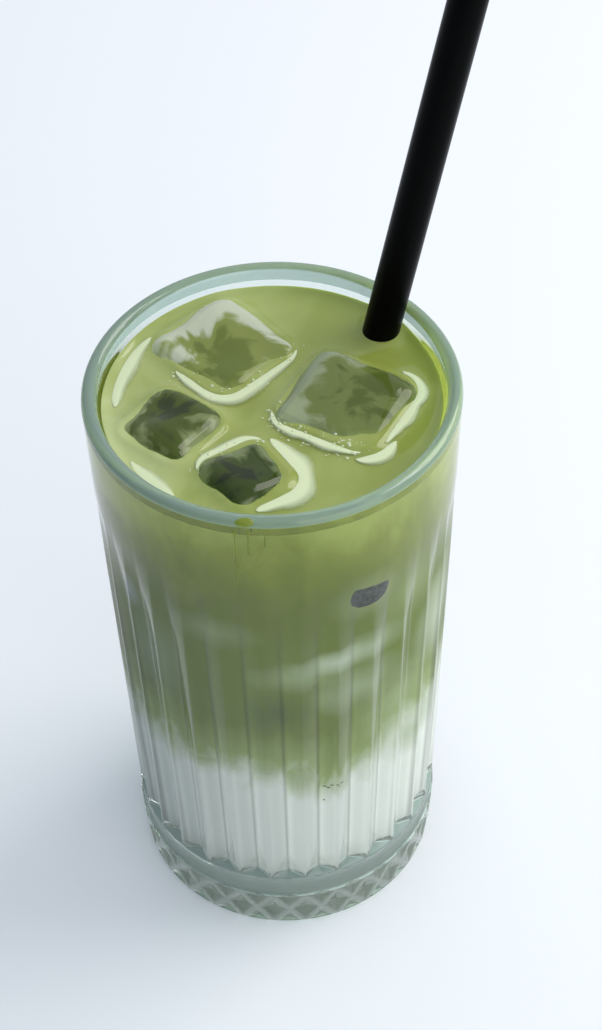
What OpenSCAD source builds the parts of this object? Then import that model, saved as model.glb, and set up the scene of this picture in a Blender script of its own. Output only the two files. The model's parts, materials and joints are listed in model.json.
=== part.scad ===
// Iced matcha latte in a tall cut-glass tumbler: milk below, matcha above,
// four ice cubes afloat and one drinking straw.  Millimetres, +Z up.
// Origin: middle of the foot, on the surface that the glass stands on.

/* [Glass] */
// Height of the glass
glass_height = 150; // [140:1:180]
// Outside diameter of the body just under the lip
rim_diameter = 79.5; // [76:0.5:96]
// Outside diameter of the body at the foot of the flutes
body_foot_diameter = 74.4; // [72:0.2:76]
// Thickness of the rounded lip
lip_wall = 3.2; // [2.8:0.1:3.6]
// Thickness of the wall just below the lip
upper_wall = 4.1; // [3.8:0.1:5]
// Thickness of the wall at the foot of the flutes
lower_wall = 4.8; // [4.4:0.1:6.5]
// Height below the top at which the wall has its full thickness
lip_depth = 7; // [5:0.5:9]
// Height of the floor inside the glass
floor_height = 15.5; // [14:0.5:20]
// Radius between the floor and the wall inside
floor_fillet = 3.5; // [2:0.5:6]

/* [Flutes] */
// Number of V-shaped flutes round the body
flute_count = 29; // [20:1:32]
// Depth of each flute at its foot
flute_depth = 2.4; // [1.6:0.1:2.8]
// Depth of each flute where it starts to run out
flute_upper_depth = 1.5; // [1:0.1:1.8]
// Width of the ridge left between two flutes
ridge_width = 1.2; // [0.8:0.1:2]
// Height above the table at which the flutes end in a flat shelf
shelf_height = 20.3; // [18:0.1:24]
// Height of the smooth wall between the flutes and the top of the glass
smooth_height = 20; // [14:1:32]
// Length over which the flutes run out at their upper ends
runout_length = 26; // [20:1:50]

/* [Foot] */
// Height of the cut band round the foot
band_height = 12.3; // [10:0.1:14]
// Outside diameter of the foot at the table
foot_diameter = 73.8; // [70:0.2:78]
// Outside diameter at the top of the cut band
band_diameter = 75; // [72:0.2:80]
// Depth of the hollow between the band and the flutes
neck_hollow = 0.7; // [0.2:0.1:1.2]
// Width of the crossed ribs left on the band
rib_width = 0.9; // [0.5:0.1:1.4]
// Depth of the diamonds cut between the ribs
diamond_depth = 1; // [0.5:0.1:1.5]
// Rounding of the edge at the table
foot_rounding = 0.5; // [0.2:0.1:1]

/* [Drink] */
// Height left free between the drink and the top of the glass
free_height = 5.7; // [5:0.1:20]
// Depth of the milk layer, from the floor of the glass
milk_depth = 40.5; // [20:0.5:64]
// Space between the drink and the glass, the straw and the ice
fill_gap = 0.1; // [0.05:0.05:0.2]

/* [Straw] */
// Outside diameter of the straw
straw_diameter = 8; // [6:0.5:10]
// Wall of the straw
straw_wall = 0.3; // [0.2:0.05:0.6]
// Length of the straw
straw_length = 230; // [200:5:260]
// Direction in which the straw leans on the rim, from +X
straw_azimuth = 40.4; // [30:0.1:50]
// Distance of the straw's lower end from the middle, towards +X
straw_foot_x = -4.5; // [-6:0.1:4]
// Distance of the straw's lower end from the middle, towards +Y
straw_foot_y = 2; // [-4:0.1:4]
// Space between the straw and the lip, and between the straw and the floor
straw_gap = 0.15; // [0.05:0.05:0.3]

/* [Ice] */
// Width of the ice cube at the back
ice_back_width = 24; // [18:0.5:26]
// Width of the ice cube at the right
ice_right_width = 25; // [18:0.5:26]
// Width of the ice cube at the left
ice_left_width = 19; // [15:0.5:20]
// Width of the ice cube at the front
ice_front_width = 16; // [12:0.5:17]
// Space between the ice cube at the back and the glass
ice_back_gap = 0.65; // [0.4:0.05:2]
// Space between the ice cube at the right and the straw, halfway down the cube
ice_right_gap = 2.4; // [1.5:0.1:4]
// Space between the ice cube at the left and the glass
ice_left_gap = 0.65; // [0.4:0.05:2]
// Space between the ice cube at the front and the glass
ice_front_gap = 2.45; // [1.5:0.05:4]
// Middles of the cubes at the back and right: least distance beyond half their widths
back_right_spacing = 6.4; // [4.5:0.05:8]
// Middles of the cubes at the back and left: distance beyond half their widths
back_left_spacing = 4.6; // [4:0.05:6]
// Middles of the cubes at the left and front: distance beyond half their widths
left_front_spacing = 3.5; // [3:0.05:5]
// Height of the ice that stands above the drink
ice_rise = 3; // [1:0.1:4]

/* [Hidden] */
$fn = 96;

rim_r = rim_diameter / 2;
body_foot_r = body_foot_diameter / 2;
foot_r = foot_diameter / 2;
band_r = band_diameter / 2;
pitch = 360 / flute_count;
// a valley faces -Y, and the ridges stand half a pitch to each side of it
first_valley = -90;
lip_r = lip_wall / 2;
lip_z = glass_height - lip_r;
full_wall_z = glass_height - lip_depth;
flute_top = glass_height - smooth_height;
runout_height = flute_top - runout_length;
drink_level = glass_height - free_height;
milk_level = floor_height + milk_depth;

// outside radius of the body, without its flutes
function body_r(z) =
    body_foot_r + (rim_r - body_foot_r) * (z - shelf_height) / (lip_z - shelf_height);
// outside radius of the cut band, without its diamonds
function band_r_at(z) = foot_r + (band_r - foot_r) * z / band_height;
// inside radius of the glass
cavity_top_r = body_r(full_wall_z) - upper_wall;
cavity_foot_r = body_foot_r - lower_wall;
function cavity_r(z) =
    cavity_foot_r
    + (cavity_top_r - cavity_foot_r) * (z - shelf_height) / (full_wall_z - shelf_height);

// points of an arc in the half plane of a turned outline
function arc(c, r, from, to, steps) =
    [for (i = [0 : steps]) c + r * [cos(from + (to - from) * i / steps),
                                    sin(from + (to - from) * i / steps)]];

// outline of the inside, from the axis at the floor up to height top
function cavity_outline(top, gap) =
    let (z0 = floor_height + gap,
         f = floor_fillet,
         wall_r = cavity_r(floor_height + f) - gap)
    concat([[0, z0]],
           arc([wall_r - f, z0 + f], f, -90, 0, 6),
           [[cavity_r(top) - gap, top], [0, top]]);

// ---- glass ----

module glass_outline() {
    neck_top = shelf_height - 1.1;
    neck_low = band_height + 0.5;
    neck_r = body_foot_r - neck_hollow;
    polygon(concat(
        [[0, 0]],
        arc([foot_r - foot_rounding, foot_rounding], foot_rounding, -90, 0, 4),
        [[band_r, band_height],
         [band_r - 0.35, neck_low]],
        [for (i = [1 : 5]) [neck_r + (i - 3) * (i - 3) * 0.06,
                            neck_low + (neck_top - neck_low) * i / 6]],
        [[body_foot_r - 0.3, neck_top],
         [body_r(neck_top + 0.2), neck_top + 0.2]],
        arc([rim_r - lip_r, lip_z], lip_r, 0, 180, 12),
        [[cavity_top_r, full_wall_z]],
        [for (i = [0 : 6]) let (c = cavity_outline(full_wall_z, 0)) c[7 - i]],
        [[0, floor_height]]));
}

// one flute: a V that keeps its width, gets shallower and runs out at the top;
// its flat lower end leaves the shelf
module flute() {
    past = 1.25;
    depths = [[shelf_height, flute_depth],
              [runout_height, flute_upper_depth],
              [flute_top, -0.15]];
    points = [for (d = depths)
        let (r = body_r(d[0]),
             half = (2 * PI * r / flute_count - ridge_width) / 2,
             edge_r = sqrt(r * r - half * half),
             valley_r = r - d[1],
             rise = max(edge_r - valley_r, 0.2))
        each [[valley_r, 0, d[0]],
              [valley_r + rise * past, -half * past, d[0]],
              [valley_r + rise * past, half * past, d[0]]]];
    last = 3 * (len(depths) - 1);
    sides = [for (s = [0 : len(depths) - 2])
        for (k = [0 : 2])
            let (a = 3 * s + k, b = 3 * s + (k + 1) % 3)
            each [[a, a + 3, b], [b, a + 3, b + 3]]];
    polyhedron(points, concat([[0, 1, 2], [last + 2, last + 1, last]], sides));
}

// one diamond cut into the band: a four-sided hollow pyramid around height z
module diamond(z) {
    past = 1.3;
    half_w = PI * band_r_at(z) / flute_count;
    half_h = band_height / 2;
    side = half_w * half_h / sqrt(half_w * half_w + half_h * half_h);
    scale_in = (side - rib_width / 2) / side;
    w = half_w * scale_in * past;
    h = half_h * scale_in * past;
    out = diamond_depth * (past - 1);
    polyhedron(
        [[band_r_at(z) - diamond_depth, 0, z],
         [band_r_at(z) + out, w, z],
         [band_r_at(z + h) + out, 0, z + h],
         [band_r_at(z) + out, -w, z],
         [band_r_at(z - h) + out, 0, z - h]],
        [[0, 1, 2], [0, 2, 3], [0, 3, 4], [0, 4, 1], [3, 2, 1], [4, 3, 1]]);
}

// the lower half of a diamond, closed by a flat ledge at height z
module half_diamond(z) {
    difference() {
        diamond(z);
        translate([0, -10, z])
            cube([2 * band_r, 20, band_height]);
    }
}

module glass() {
    color([0.78, 0.88, 0.86, 0.45])
    difference() {
        rotate_extrude() glass_outline();
        for (k = [0 : flute_count - 1])
            rotate(first_valley + k * pitch) {
                flute();
                diamond(0);
                half_diamond(band_height - 0.35);
            }
        for (k = [0 : flute_count - 1])
            rotate(first_valley + (k + 0.5) * pitch)
                diamond(band_height / 2);
    }
}

// ---- straw ----

straw_r = straw_diameter / 2;
// the straw's axis runs from its lower end on the floor to its seat on the lip
lip_inner_r = rim_r - lip_wall;
seat_z = lip_z;
foot_guess = [straw_foot_x, straw_foot_y, floor_height];
lean_guess = atan2(lip_inner_r - straw_r, seat_z - floor_height);
seat_r = lip_inner_r - straw_gap - straw_r / cos(lean_guess);
seat = [seat_r * cos(straw_azimuth), seat_r * sin(straw_azimuth), seat_z];
axis = seat - foot_guess;
straw_lean = atan2(norm([axis.x, axis.y]), axis.z);
straw_turn = atan2(axis.y, axis.x);
straw_foot = foot_guess + [0, 0, straw_gap + straw_r * sin(straw_lean)];

module straw_place() {
    translate(straw_foot) rotate([0, straw_lean, straw_turn]) children();
}

module straw() {
    color([0.05, 0.06, 0.06])
    straw_place()
        difference() {
            cylinder(h = straw_length, r = straw_r);
            translate([0, 0, -1])
                cylinder(h = straw_length + 2, r = straw_r - straw_wall);
        }
}

// the room that the straw takes in the drink, turned a quarter so that the seam
// of its wall lies to the side of the lean
module straw_room() {
    straw_place()
        translate([0, 0, -straw_r])
            rotate(90)
                cylinder(h = straw_length, r = straw_r + fill_gap);
}

// ---- ice ----

// [rough direction, turn, tilt, size] of each cube; the direction is seen from the
// axis of the glass, and for the cube at the right from the straw
function ice_data(name) =
    name == "back" ? [121.8, 42, [4, 3], ice_back_width * [1, 1.04, 0.82]]
    : name == "right" ? [251.7, 60, [0, -5], ice_right_width * [1, 1, 0.8]]
    : name == "left" ? [199.2, 52, [-3, 2], ice_left_width * [1, 1, 0.9]]
    : [256, 32, [3, -4], ice_front_width * [1, 1, 0.95]];

// radius of the sphere that rounds a cube's edges and corners
function ice_round_r(size) = norm([size.x, size.y]) / 2 - 0.035 * size.x;
// height of a cube's middle
function ice_mid_z(size) = drink_level + ice_rise - size.z / 2;

// points round the widest part of a rounded cube that is turned by angle t
function ice_outline(size, t) =
    let (r = ice_round_r(size),
         from = acos(size.x / 2 / r),
         to = asin(size.y / 2 / r))
    [for (side = [[1, 1], [-1, 1], [-1, -1], [1, -1]])
        for (i = [0 : 4])
            let (a = from + (to - from) * i / 4,
                 x = side.x * r * cos(a), y = side.y * r * sin(a))
            [x * cos(t) - y * sin(t), x * sin(t) + y * cos(t)]];

// how far from the axis, in direction a, a cube's middle may be, gap from the glass
function reach_to_glass(d, a, gap) =
    let (room = cavity_r(ice_mid_z(d[3])) - gap)
    min([for (p = ice_outline(d[3], d[1] - a)) sqrt(room * room - p.y * p.y) - p.x]);

// distance between the middles of two cubes
function apart(d, e, spacing) = (d[3].x + e[3].x) / 2 + spacing;

// direction of a cube that lies along the glass from its neighbour, at p
function beyond(p, r, distance) =
    atan2(p.y, p.x) + acos((p * p + r * r - distance * distance) / (2 * norm(p) * r));

function back_middle() =
    let (d = ice_data("back"))
    reach_to_glass(d, d[0], ice_back_gap) * [cos(d[0]), sin(d[0])];

// the cube at the right lies beside the straw, and keeps off the cube at the back
function right_middle() =
    let (d = ice_data("right"),
         at = straw_foot + axis * (ice_mid_z(d[3]) - straw_foot.z) / axis.z,
         reach = max([for (p = ice_outline(d[3], d[1] - d[0])) -p.x]),
         from_straw = straw_r / cos(straw_lean) + ice_right_gap + reach,
         beside = [at.x, at.y] + from_straw * [cos(d[0]), sin(d[0])],
         way = beside - back_middle(),
         least = apart(ice_data("back"), d, back_right_spacing))
    beside + max(least - norm(way), 0) * way / norm(way);

// a cube along the glass from the one at p, whose data is e
function next_middle(d, gap, e, p, spacing) =
    let (a = beyond(p, reach_to_glass(d, d[0], gap), apart(d, e, spacing)))
    reach_to_glass(d, a, gap) * [cos(a), sin(a)];

function left_middle() =
    next_middle(ice_data("left"), ice_left_gap,
                ice_data("back"), back_middle(), back_left_spacing);
function front_middle() =
    next_middle(ice_data("front"), ice_front_gap,
                ice_data("left"), left_middle(), left_front_spacing);

function ice_middle(name) =
    name == "back" ? back_middle()
    : name == "right" ? right_middle()
    : name == "left" ? left_middle()
    : front_middle();

// one melted cube: its edges and corners are rounded by a sphere
module ice(name, grow = 0) {
    d = ice_data(name);
    size = d[3];
    middle = ice_middle(name);
    translate([middle.x, middle.y, ice_mid_z(size)])
        rotate([d[2][0], d[2][1], d[1]])
            intersection() {
                cube(size + 2 * grow * [1, 1, 1], center = true);
                sphere(r = ice_round_r(size) + grow);
            }
}

module ice_back() { color([0.62, 0.68, 0.44]) ice("back"); }
module ice_right() { color([0.56, 0.63, 0.40]) ice("right"); }
module ice_left() { color([0.46, 0.52, 0.27]) ice("left"); }
module ice_front() { color([0.42, 0.50, 0.27]) ice("front"); }

// ---- drink ----

module milk() {
    color([0.93, 0.95, 0.92])
    difference() {
        rotate_extrude() polygon(cavity_outline(milk_level, fill_gap));
        straw_room();
    }
}

module matcha() {
    color([0.52, 0.60, 0.28])
    difference() {
        rotate_extrude()
            polygon([[0, milk_level],
                     [cavity_r(milk_level) - fill_gap, milk_level],
                     [cavity_r(full_wall_z) - fill_gap, full_wall_z],
                     [cavity_top_r - fill_gap, drink_level],
                     [0, drink_level]]);
        straw_room();
        for (name = ["back", "right", "left", "front"])
            ice(name, fill_gap);
    }
}

glass();
milk();
matcha();
straw();
ice_back();
ice_right();
ice_left();
ice_front();
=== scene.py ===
# %% [markdown]
# # An iced matcha latte in its glass
# The drink is built around a imported CAD model, the frame, which says where every
# piece goes.  Everything here is in metres, +Z up, with the origin in the middle of
# the glass's foot.  First come the few helpers that all the pieces share.

# %% Frame and helpers
import json
import math
import random
import bpy
import bmesh
from mathutils import Matrix, Vector, noise

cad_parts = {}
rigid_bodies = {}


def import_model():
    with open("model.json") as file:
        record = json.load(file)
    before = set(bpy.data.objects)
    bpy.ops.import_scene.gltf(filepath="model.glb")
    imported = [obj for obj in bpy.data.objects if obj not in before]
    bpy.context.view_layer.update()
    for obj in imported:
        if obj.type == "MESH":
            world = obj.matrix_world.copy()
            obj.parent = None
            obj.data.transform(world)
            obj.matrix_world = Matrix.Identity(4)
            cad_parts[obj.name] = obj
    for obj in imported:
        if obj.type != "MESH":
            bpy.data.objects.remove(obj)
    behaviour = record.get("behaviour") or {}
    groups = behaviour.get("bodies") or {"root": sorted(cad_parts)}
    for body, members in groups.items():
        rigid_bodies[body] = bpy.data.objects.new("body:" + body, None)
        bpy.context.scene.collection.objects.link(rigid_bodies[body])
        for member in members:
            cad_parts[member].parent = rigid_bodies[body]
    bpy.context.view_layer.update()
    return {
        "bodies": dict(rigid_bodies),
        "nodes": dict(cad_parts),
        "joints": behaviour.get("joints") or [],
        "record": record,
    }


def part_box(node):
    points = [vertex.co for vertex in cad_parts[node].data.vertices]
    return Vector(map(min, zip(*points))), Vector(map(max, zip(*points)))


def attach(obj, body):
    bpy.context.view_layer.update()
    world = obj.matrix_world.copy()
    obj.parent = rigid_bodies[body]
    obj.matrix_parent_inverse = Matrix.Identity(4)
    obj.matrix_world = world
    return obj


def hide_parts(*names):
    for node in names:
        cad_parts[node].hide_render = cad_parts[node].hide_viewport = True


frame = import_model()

MM = 0.001
nodes = frame["nodes"]
print("frame nodes:", sorted(nodes))


def linear(hex_colour, alpha=1.0):
    """An sRGB hex colour as the linear colour that shaders work in."""
    parts = [int(hex_colour[i:i + 2], 16) / 255 for i in (0, 2, 4)]
    return tuple(c / 12.92 if c <= 0.04045 else ((c + 0.055) / 1.055) ** 2.4
                 for c in parts) + (alpha,)


def add_node(tree, kind, settings=None, links=None, **attributes):
    """Adds one shader node, sets its attributes and sockets, and links its inputs."""
    node = tree.nodes.new(kind)
    for name, value in attributes.items():
        setattr(node, name, value)
    for socket, value in (settings or {}).items():
        node.inputs[socket].default_value = value
    for socket, source in (links or {}).items():
        tree.links.new(source, node.inputs[socket])
    return node


def new_material(name):
    """An empty material and its node tree."""
    material = bpy.data.materials.new(name)
    material.use_nodes = True
    material.node_tree.nodes.clear()
    return material, material.node_tree


def fill_ramp(ramp, stops):
    """Sets a colour ramp to a list of (position, sRGB colour)."""
    while len(ramp.color_ramp.elements) < len(stops):
        ramp.color_ramp.elements.new(0.5)
    for element, (position, colour) in zip(ramp.color_ramp.elements, stops):
        element.position = position
        element.color = linear(colour)


def finish_piece(name, bm, materials, stands_for=(), smooth=True):
    """Turns a bmesh into a piece that rides on the one body of the drink."""
    mesh = bpy.data.meshes.new(name)
    for face in bm.faces:
        face.smooth = smooth
    bm.to_mesh(mesh)
    bm.free()
    piece = bpy.data.objects.new(name, mesh)
    bpy.context.scene.collection.objects.link(piece)
    for material in materials:
        mesh.materials.append(material)
    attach(piece, "root")
    if stands_for:
        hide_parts(*stands_for)
    print(f"{name}: {len(mesh.vertices)} vertices, {len(mesh.polygons)} faces")
    return piece


# %% [markdown]
# ## Sizes that the pieces share
# The overall sizes are read from the frame's boxes.  The finer ones, such as the
# number of flutes, are those of the pressed glass itself, in millimetres.

# %% Sizes of the glass
glass_low, glass_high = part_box("glass")
GLASS_H = glass_high.z / MM
RIM_R = (glass_high.x - glass_low.x) / 2 / MM
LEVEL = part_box("matcha")[1].z / MM
MILK_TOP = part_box("milk")[1].z / MM
FLOOR_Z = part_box("milk")[0].z / MM - 0.1
BODY_FOOT_R, FOOT_R, BAND_R = 37.2, 36.9, 37.5
SHELF_Z, BAND_Z = 20.3, 12.3
# heights where the flutes begin to run out, where they end, and above which no point
# of the outline is cut and the wall is smooth
RUNOUT_Z, FLUTE_TOP, CUT_TOP, SMOOTH_Z = 104.0, 130.0, 132.0, 133.0
LIP_WALL, UPPER_WALL, LOWER_WALL, LIP_DEPTH = 3.2, 4.1, 4.8, 7.0
LIP_Z = GLASS_H - LIP_WALL / 2
FULL_WALL_Z = GLASS_H - LIP_DEPTH
FLUTES = 29
PITCH = 2 * math.pi / FLUTES
FIRST_VALLEY = -math.pi / 2


def body_radius(z):
    """Outside radius of the body at height z, without its flutes."""
    return BODY_FOOT_R + (RIM_R - BODY_FOOT_R) * (z - SHELF_Z) / (LIP_Z - SHELF_Z)


CAVITY_TOP_R = body_radius(FULL_WALL_Z) - UPPER_WALL
CAVITY_FOOT_R = BODY_FOOT_R - LOWER_WALL


def cavity_radius(z):
    """Inside radius of the glass at height z."""
    share = (z - SHELF_Z) / (FULL_WALL_Z - SHELF_Z)
    return CAVITY_FOOT_R + (CAVITY_TOP_R - CAVITY_FOOT_R) * share


print(f"glass {GLASS_H:.1f} mm tall, drink up to {LEVEL:.1f} mm")

# %% [markdown]
# ## The camera
# It looks down at the glass from just above arm's length, as a person does who
# stands at the table.  It comes first, so that each piece can be judged as it is made.

# %% Camera
LENS_MM = 69.9
CAMERA_AT = Vector((5.34, -302.7, 435.3)) * MM
LOOK_DOWN = math.radians(47.12)
ROLL = math.radians(-1.504)
camera_data = bpy.data.cameras.new("camera")
camera_data.lens = LENS_MM
camera_data.sensor_width = 36
camera_data.clip_start = 0.01
camera = bpy.data.objects.new("camera", camera_data)
camera.matrix_world = (Matrix.Translation(CAMERA_AT)
                       @ Matrix.Rotation(math.pi / 2 - LOOK_DOWN, 4, "X")
                       @ Matrix.Rotation(ROLL, 4, "Z"))
bpy.context.scene.collection.objects.link(camera)
bpy.context.scene.camera = camera
print("camera at", tuple(round(c, 3) for c in CAMERA_AT))

# %% [markdown]
# ## Glass, as a material
# Pressed soda-lime glass: colourless in the wall and faintly blue-green where the
# light runs along it, as in the lip.  Its index is 1.52 and its fire-polished skin is
# nearly a perfect mirror.  The thick foot is greener, and it is painted with light and
# shade: its neck is a darker glass with painted shade, its ribs are a painted lit copy
# of the glass, and the diamonds between them a darker copy with painted shade.  Lamps
# have to reach the drink inside, so rays from lamps pass straight through a clear
# stand-in instead of waiting for caustics.


# %% Clear materials
def let_lamps_in(tree, shader, lamp_tint):
    """Ends a material: rays from lamps pass straight through, a little tinted."""
    through = add_node(tree, "ShaderNodeBsdfTransparent", {"Color": linear(lamp_tint)})
    path = add_node(tree, "ShaderNodeLightPath")
    mix = add_node(tree, "ShaderNodeMixShader", None,
                   {0: path.outputs["Is Shadow Ray"], 1: shader.outputs[0],
                    2: through.outputs[0]})
    add_node(tree, "ShaderNodeOutputMaterial", None, {"Surface": mix.outputs[0]})


def clear_material(name, tint, ior, roughness, lamp_tint, clearness=1.0):
    """A clear solid that bends what is seen through it and lets lamps in."""
    material, tree = new_material(name)
    shader = add_node(tree, "ShaderNodeBsdfPrincipled",
                      {"Base Color": linear(tint), "IOR": ior, "Roughness": roughness,
                       "Transmission Weight": clearness})
    let_lamps_in(tree, shader, lamp_tint)
    return material


pressed_glass = clear_material("pressed_soda_lime_glass", "F2FAF8", 1.52, 0.01, "F6FBFA")
lip_glass = clear_material("fire_polished_glass_lip", "AAC6BE", 1.52, 0.03, "E0F0EC",
                           clearness=0.62)
# the neck, the ribs and the diamonds are copies of one glass with painted shade and painted
# light
neck_glass_painted_shade = clear_material("thick_glass_neck_painted_shade", "A6B8B0", 1.52, 0.02, "E6F0EC",
                            clearness=0.78)
rib_glass_painted_lit = clear_material("thick_glass_rib_painted_lit", "E2ECE7", 1.52, 0.01, "EAF2EE",
                           clearness=0.9)
diamond_glass_painted_shade = clear_material("thick_glass_diamond_painted_shade", "A3B3A2", 1.52, 0.01,
                               "E6F0EA", clearness=0.9)
print("clear materials made")

# %% [markdown]
# ## The glass
# A pressed tumbler is turned about its axis and then cut.  So its outline is spun
# once round, with many fine steps, and the cuts are pressed in afterwards: V-shaped
# flutes up the wall, and a band of diamonds between crossed ribs round the foot.


# %% Outline of the glass
def arc(centre_r, centre_z, radius, start, end, steps):
    """Points of an arc in the outline, angles in degrees."""
    points = []
    for i in range(steps + 1):
        angle = math.radians(start + (end - start) * i / steps)
        points.append((centre_r + radius * math.cos(angle),
                       centre_z + radius * math.sin(angle)))
    return points


def line(a, b, steps):
    """Points from a towards b, without b."""
    return [(a[0] + (b[0] - a[0]) * i / steps, a[1] + (b[1] - a[1]) * i / steps)
            for i in range(steps)]


FLOOR_FILLET = 3.5
NECK_LOW, NECK_HIGH = BAND_Z + 0.5, SHELF_Z - 1.1
NECK_HOLLOW = 0.7
FOOT_ROUND, BAND_ROUND = 0.5, 0.35
lip_in_r = RIM_R - LIP_WALL
floor_wall_r = cavity_radius(FLOOR_Z + FLOOR_FILLET)
outline = line((0, 0), (FOOT_R - FOOT_ROUND, 0), 3)
outline += arc(FOOT_R - FOOT_ROUND, FOOT_ROUND, FOOT_ROUND, -90, 0, 3)
outline += line((FOOT_R, 0.7), (BAND_R, BAND_Z - 0.5), 26)
outline += arc(BAND_R - BAND_ROUND, BAND_Z - BAND_ROUND, BAND_ROUND, 0, 90, 4)
outline += [(BODY_FOOT_R - NECK_HOLLOW + (i / 3 - 2) ** 2 * 0.1,
             NECK_LOW + (NECK_HIGH - NECK_LOW) * i / 12) for i in range(1, 12)]
outline += [(BODY_FOOT_R - 0.35, NECK_HIGH), (BODY_FOOT_R - 0.1, NECK_HIGH + 0.08),
            (BODY_FOOT_R, NECK_HIGH + 0.35), (BODY_FOOT_R, SHELF_Z - 0.3),
            (BODY_FOOT_R, SHELF_Z - 0.02)]
outline += line((body_radius(SHELF_Z + 0.02), SHELF_Z + 0.02),
                (body_radius(SMOOTH_Z), SMOOTH_Z), 34)
outline += line((body_radius(SMOOTH_Z), SMOOTH_Z), (RIM_R, LIP_Z), 8)
outline += arc(RIM_R - LIP_WALL / 2, LIP_Z, LIP_WALL / 2, 0, 180, 18)
outline += line((lip_in_r - 0.1, LIP_Z - 1.6), (CAVITY_TOP_R, FULL_WALL_Z), 4)
outline += line((CAVITY_TOP_R, FULL_WALL_Z), (floor_wall_r, FLOOR_Z + FLOOR_FILLET), 12)
outline += arc(floor_wall_r - FLOOR_FILLET, FLOOR_Z + FLOOR_FILLET, FLOOR_FILLET, 0, -90, 8)
outline += line((floor_wall_r - FLOOR_FILLET - 2, FLOOR_Z), (0, FLOOR_Z), 5)
outline += [(0, FLOOR_Z)]
print(f"outline of {len(outline)} points")


# %% Turning an outline
def turn(points, steps):
    """A bmesh turned from (radius, height) points in mm, closed at the axis."""
    bm = bmesh.new()
    verts = [bm.verts.new((r * MM, 0, z * MM)) for r, z in points]
    edges = [bm.edges.new(pair) for pair in zip(verts, verts[1:])]
    bmesh.ops.spin(bm, geom=verts + edges, cent=(0, 0, 0), axis=(0, 0, 1),
                   angle=2 * math.pi, steps=steps, use_merge=True)
    bmesh.ops.remove_doubles(bm, verts=bm.verts, dist=1e-6)
    bmesh.ops.recalc_face_normals(bm, faces=bm.faces)
    return bm


# %% Depth of the cuts
FLUTE_DEPTH, FLUTE_UPPER_DEPTH = 2.4, 1.5
RIDGE_W, RIB_W, DIAMOND_DEPTH = 1.2, 0.9, 1.0


def flute_cut(angle, z):
    """How deep the flutes cut at this angle and height, in mm."""
    if z < SHELF_Z or z > CUT_TOP:
        return 0.0
    if z < RUNOUT_Z:
        share = (z - SHELF_Z) / (RUNOUT_Z - SHELF_Z)
        depth = FLUTE_DEPTH + (FLUTE_UPPER_DEPTH - FLUTE_DEPTH) * share
    else:
        share = (z - RUNOUT_Z) / (FLUTE_TOP - RUNOUT_Z)
        depth = FLUTE_UPPER_DEPTH - (FLUTE_UPPER_DEPTH + 0.15) * share
    turns = (angle - FIRST_VALLEY) / PITCH
    from_valley = abs(turns - round(turns)) * 2
    half = 1 - RIDGE_W / (body_radius(z) * PITCH)
    rise = depth - 0.16 if depth > 0.2 else 0.2
    return max(0.0, depth - rise * from_valley / half)


def diamond_cut(angle, z):
    """How deep the diamonds cut at this angle and height, in mm."""
    if z > BAND_Z - 0.3:
        return 0.0
    half_w, half_h = BAND_R * PITCH / 2, BAND_Z / 2
    side = half_w * half_h / math.hypot(half_w, half_h)
    inside = (side - RIB_W / 2) / side
    turns = (angle - FIRST_VALLEY) / PITCH
    deepest = 0.0
    for shift, centre_z in ((0.5, half_h), (0.0, 0.0), (0.0, BAND_Z)):
        across = turns - shift
        across = abs(across - round(across)) * 2
        reach = across + abs(z - centre_z) / half_h
        deepest = max(deepest, DIAMOND_DEPTH * (1 - reach / inside))
    return deepest


# %% The glass itself
STEPS_PER_FLUTE = 22
SKIN, BODY_SKIN = 2.0, 2.5  # what lies this near the outside is cut
EDGE_Z = 0.2  # below this the rounded edge of the foot stays whole
RIB_EDGE = 0.12  # a cut shallower than this is still the rib
bm = turn(outline, FLUTES * STEPS_PER_FLUTE)
for vert in bm.verts:
    z = vert.co.z / MM
    radius = math.hypot(vert.co.x, vert.co.y) / MM
    outer = radius > (body_radius(z) - BODY_SKIN if z > FLOOR_Z else FOOT_R - SKIN)
    if not outer or z > CUT_TOP or z < EDGE_Z:
        continue
    angle = math.atan2(vert.co.y, vert.co.x)
    cut = flute_cut(angle, z) if z > SHELF_Z else diamond_cut(angle, z)
    scale = (radius - cut) / radius
    vert.co.x *= scale
    vert.co.y *= scale
LIP_LOW = LIP_Z - 0.9
for face in bm.faces:
    middle = face.calc_center_median() / MM
    if middle.z > LIP_LOW:
        face.material_index = 1
    elif middle.z < SHELF_Z and middle.xy.length > FOOT_R - SKIN:
        cut = diamond_cut(math.atan2(middle.y, middle.x), middle.z)
        # the neck and the diamonds take the glass with painted shade, the ribs the painted
        # lit glass
        face.material_index = 2 if middle.z > BAND_Z else 4 if cut > RIB_EDGE else 3
glass_with_painted_light = [pressed_glass, lip_glass, neck_glass_painted_shade, rib_glass_painted_lit, diamond_glass_painted_shade]
glass = finish_piece("cut_glass_tumbler", bm, glass_with_painted_light, ["glass"])
# the sides of the diamonds are flat and meet in crisp lines
for face in glass.data.polygons:
    if face.center.z < BAND_Z * MM and face.center.xy.length > (FOOT_R - SKIN) * MM:
        face.use_smooth = False
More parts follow.
